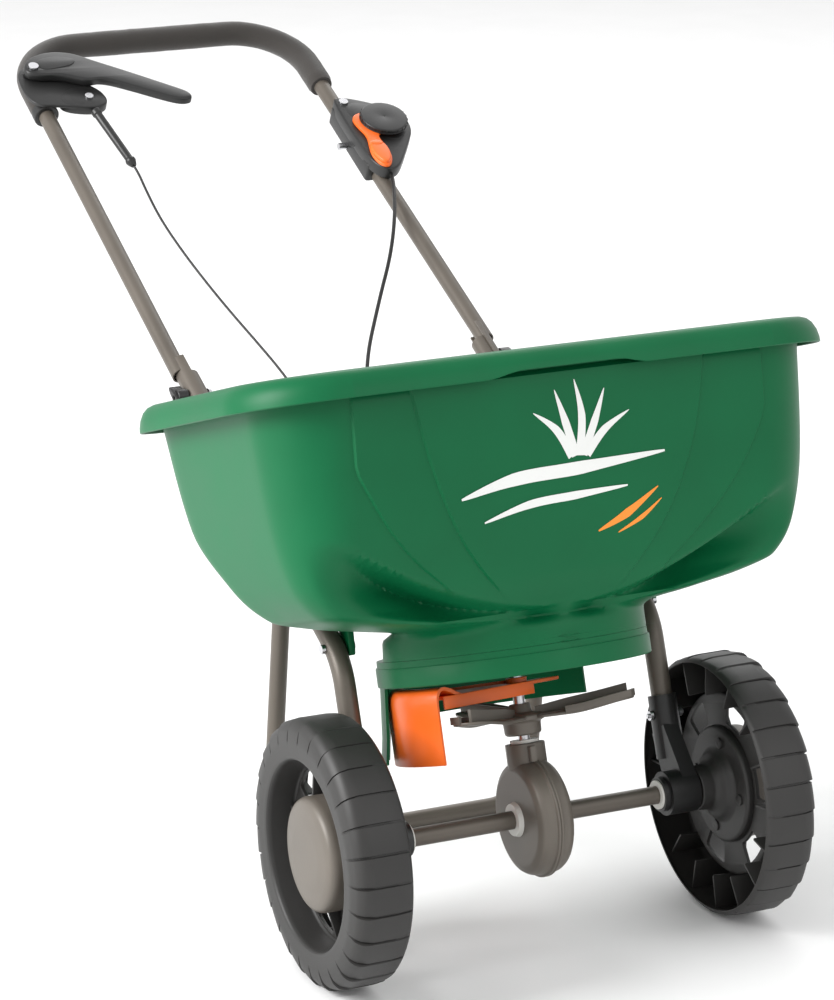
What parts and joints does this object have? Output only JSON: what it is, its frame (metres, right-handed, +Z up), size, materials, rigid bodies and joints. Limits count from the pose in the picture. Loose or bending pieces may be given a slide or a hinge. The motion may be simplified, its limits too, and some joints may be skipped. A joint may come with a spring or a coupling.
{
  "type": "broadcast spreader",
  "caption": "Push broadcast spreader with a green hopper, spinning fan driven by the wheels, edge shield, folding-height handle and cable controls, parked on its stand.",
  "frame": {"origin": "middle of the footprint, on the ground", "axes": "+Z up, -Y the front (the hopper side), +Y towards the handle, X along the axle"},
  "size_m": [0.648, 1.2088, 0.7778],
  "materials": {
    "green_plastic": "semi-gloss moulded, fine grain",
    "powder_coated_tube": "satin powder coat",
    "taupe_plastic": "satin moulded",
    "black_plastic": "satin moulded",
    "wheel_plastic": "matt moulded",
    "foam": "closed-cell foam, matt",
    "orange_plastic": "semi-gloss moulded",
    "nylon": "natural nylon",
    "zinc_steel": "zinc plated",
    "cable_jacket": "smooth black jacket"
  },
  "bodies": {
    "chassis": {"axle_bracket_left": "black_plastic", "axle_bracket_right": "black_plastic", "axle_bushing_left": "nylon", "axle_bushing_right": "nylon", "bracket_screw": "zinc_steel", "bracket_screw_left": "zinc_steel", "bracket_screw_right": "zinc_steel", "cable_anchor": "black_plastic", "cable_barrel": "black_plastic", "control_panel": "black_plastic", "deflector_cable": "cable_jacket", "dial_pin": "zinc_steel", "foam_grip": "foam", "frame_tube_left": "powder_coated_tube", "frame_tube_right": "powder_coated_tube", "gearbox_bushing_left": "nylon", "gearbox_bushing_right": "nylon", "gearbox_left": "taupe_plastic", "gearbox_right": "taupe_plastic", "handle": "powder_coated_tube", "hopper": "green_plastic", "joint_bolt_left": "zinc_steel", "joint_bolt_right": "zinc_steel", "lever_bracket": "black_plastic", "lever_pivot": "zinc_steel", "lug_bolt_left": "zinc_steel", "lug_bolt_right": "zinc_steel", "panel_bolt": "zinc_steel", "panel_screw": "zinc_steel", "shaft_bushing": "nylon", "shroud": "green_plastic", "shut_off_wire": "cable_jacket", "stand": "powder_coated_tube", "stand_bolt_left": "zinc_steel", "stand_bolt_right": "zinc_steel", "wing_knob_left": "black_plastic", "wing_knob_right": "black_plastic", "wire_anchor": "black_plastic"},
    "drive_wheel": {"wheel_left": "wheel_plastic", "hub_cap_left": "taupe_plastic", "axle": "powder_coated_tube", "push_nut_left": "zinc_steel", "push_nut_right": "zinc_steel", "crown_gear": "black_plastic"},
    "free_wheel": {"wheel_right": "wheel_plastic", "hub_cap_right": "taupe_plastic"},
    "fan": {"shaft": "zinc_steel", "pinion": "black_plastic", "impeller": "taupe_plastic", "agitator": "black_plastic"},
    "shut_off": {"shut_off_plate": "black_plastic"},
    "shield": {"deflector": "orange_plastic"},
    "squeeze": {"squeeze_lever": "black_plastic"},
    "selector": {"deflector_lever": "orange_plastic"},
    "dial": {"rate_dial": "black_plastic"}
  },
  "joints": [
    {"name": "drive_wheel_roll", "type": "hinge", "parent": "chassis", "child": "drive_wheel", "pos_m": [0, -0.46657, 0.137], "axis": [1, 0, 0], "continuous": true},
    {"name": "free_wheel_roll", "type": "hinge", "parent": "chassis", "child": "free_wheel", "pos_m": [0.225, -0.46657, 0.137], "axis": [1, 0, 0], "continuous": true},
    {"name": "fan_spin", "type": "hinge", "parent": "chassis", "child": "fan", "pos_m": [0, -0.43451, 0.23172], "axis": [0, 0.3206, 0.9472], "continuous": true},
    {"name": "lever_squeeze", "type": "hinge", "parent": "chassis", "child": "squeeze", "pos_m": [-0.18, 0.5077, 0.75254], "axis": [0, -0.4274, 0.9041], "range_deg": [0, 25], "stiffness_Nm_per_rad": 0.8, "springref_deg": -11.46},
    {"name": "plate_slide", "type": "slide", "parent": "chassis", "child": "shut_off", "axis": [0, 0.9472, -0.3206], "range_m": [0, 0.024]},
    {"name": "selector_turn", "type": "hinge", "parent": "chassis", "child": "selector", "pos_m": [0.206, 0.36219, 0.68597], "axis": [0, -0.4274, 0.9041], "range_deg": [0, 45]},
    {"name": "shield_swing", "type": "hinge", "parent": "chassis", "child": "shield", "pos_m": [0, -0.42297, 0.26582], "axis": [0, 0.3206, 0.9472], "range_deg": [-40, 0]},
    {"name": "dial_turn", "type": "hinge", "parent": "chassis", "child": "dial", "pos_m": [0.206, 0.36005, 0.69049], "axis": [0, -0.4274, 0.9041], "range_deg": [-150, 150]}
  ],
  "couplings": [
    {"joint": "fan_spin", "follows": "drive_wheel_roll", "ratio": 4},
    {"joint": "plate_slide", "follows": "lever_squeeze", "m_per_rad": 0.053858},
    {"joint": "shield_swing", "follows": "selector_turn", "ratio": -0.88}
  ]
}
